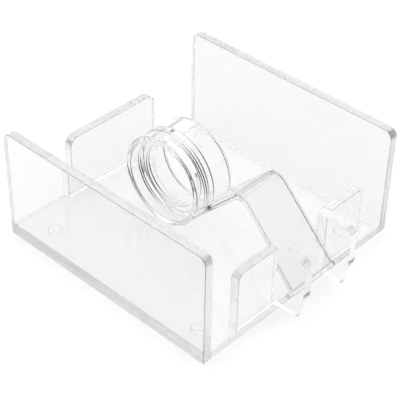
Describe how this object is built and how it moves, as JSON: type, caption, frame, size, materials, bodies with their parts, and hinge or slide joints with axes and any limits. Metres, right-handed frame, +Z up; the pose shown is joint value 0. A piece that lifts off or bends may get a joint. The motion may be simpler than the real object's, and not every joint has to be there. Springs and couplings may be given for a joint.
{
  "type": "capsule filler",
  "caption": "Open clear plastic tray with side walls and low end panels, and a bent arm, hinged on a rod between front ears, that lifts a short tube ring off the tray floor.",
  "frame": {"origin": "centre of the object's footprint, ears included, on the surface it stands on", "axes": "+X to the right seen from the hinge side, +Y from the hinge towards the back panel, +Z up"},
  "size_m": [0.137, 0.1516, 0.065],
  "materials": {
    "tray_sheet": "polished",
    "lever_sheet": "polished",
    "tube": "polished",
    "ring_plate": "polished",
    "rod": "polished",
    "bumper": "gloss"
  },
  "bodies": {
    "tray": {"base_plate": "tray_sheet", "left_wall": "tray_sheet", "right_wall": "tray_sheet", "back_panel": "tray_sheet", "front_left_panel": "tray_sheet", "front_right_panel": "tray_sheet", "left_hinge_ear": "tray_sheet", "right_hinge_ear": "tray_sheet", "foot_front_left": "bumper", "foot_front_right": "bumper", "foot_back_left": "bumper", "foot_back_right": "bumper"},
    "lever": {"lever_plate": "lever_sheet", "hinge_pin": "rod", "ring_left_tube": "tube", "ring_divider": "ring_plate", "ring_right_tube": "tube"}
  },
  "joints": [
    {"name": "lever_hinge", "type": "hinge", "parent": "tray", "child": "lever", "pos_m": [0, -0.06695, 0.0169], "axis": [1, 0, 0], "range_deg": [0, 153]}
  ]
}
